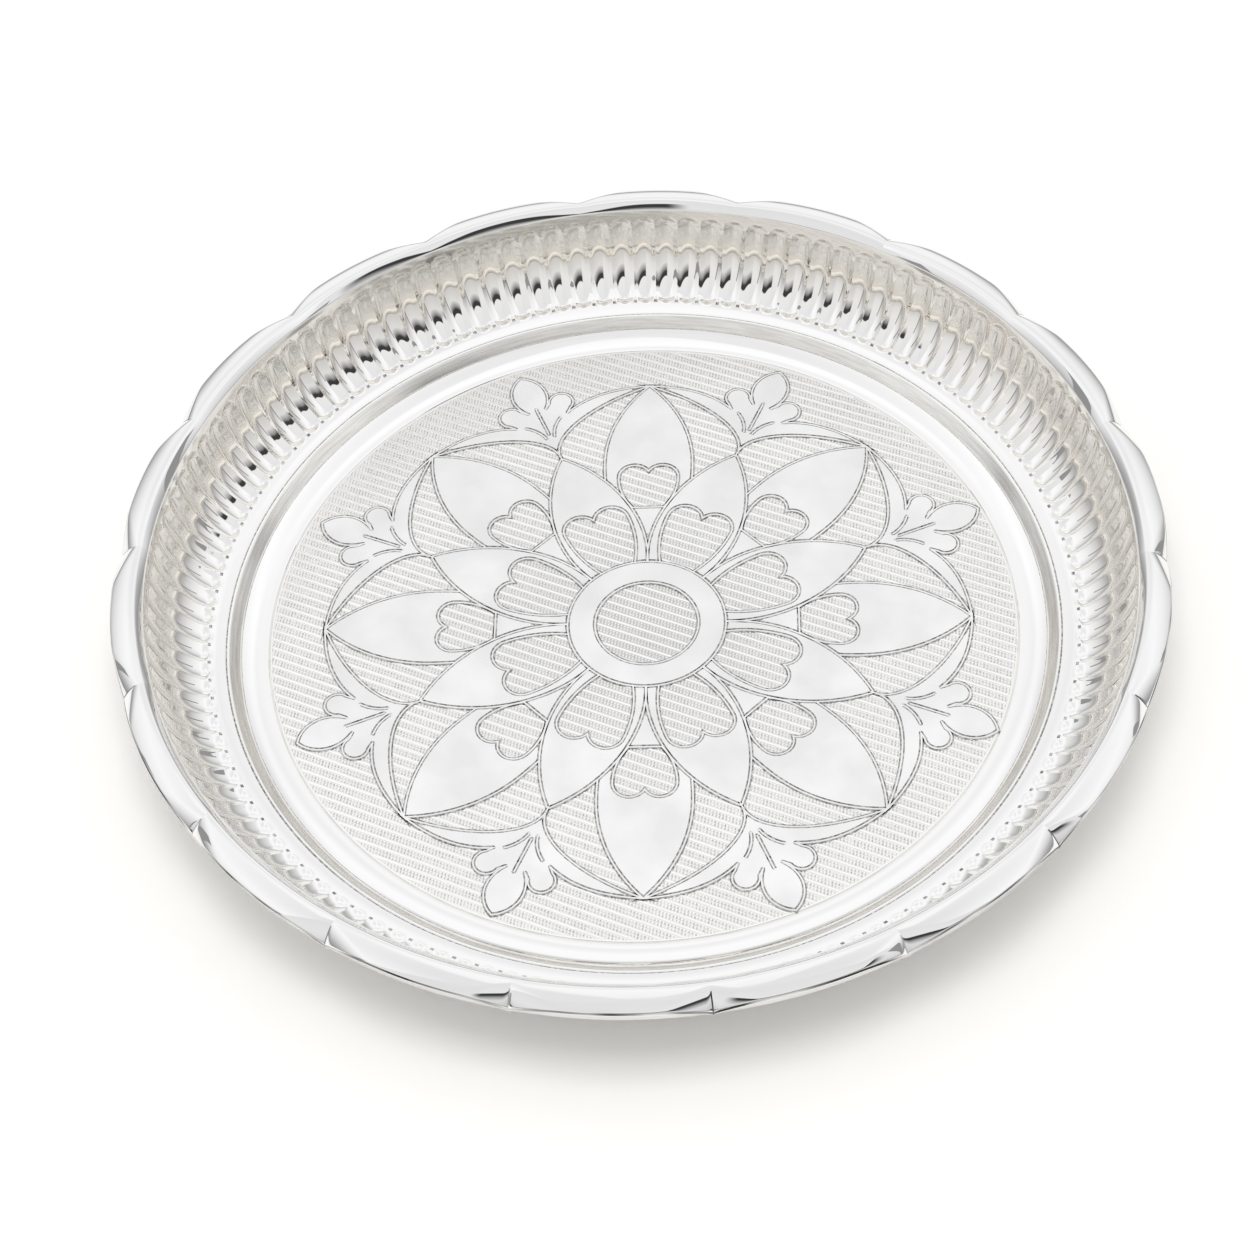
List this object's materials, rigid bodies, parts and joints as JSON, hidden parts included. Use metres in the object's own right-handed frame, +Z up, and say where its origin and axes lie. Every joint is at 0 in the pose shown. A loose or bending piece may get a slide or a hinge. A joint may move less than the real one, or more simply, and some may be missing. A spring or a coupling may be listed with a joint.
{
  "type": "puja thali",
  "caption": "Round silver-finish offering tray: flat floor with an engraved lotus rosette, fluted curved wall and rolled scalloped rim.",
  "frame": {"origin": "middle of the flat underside that the thali rests on", "axes": "+Z up along the thali's axis, out of its open side; +Y through the tip of one outer petal"},
  "size_m": [0.2528, 0.2532, 0.0296],
  "materials": {
    "engraved_silver": "polished silver relief on a finely hatched ground",
    "polished_silver": "mirror-polished silver",
    "hem_wire": "drawn wire"
  },
  "bodies": {
    "root": {"floor_panel": "engraved_silver", "wall_band": "polished_silver", "scalloped_rim": "polished_silver", "edge_wire": "hem_wire"}
  },
  "joints": []
}
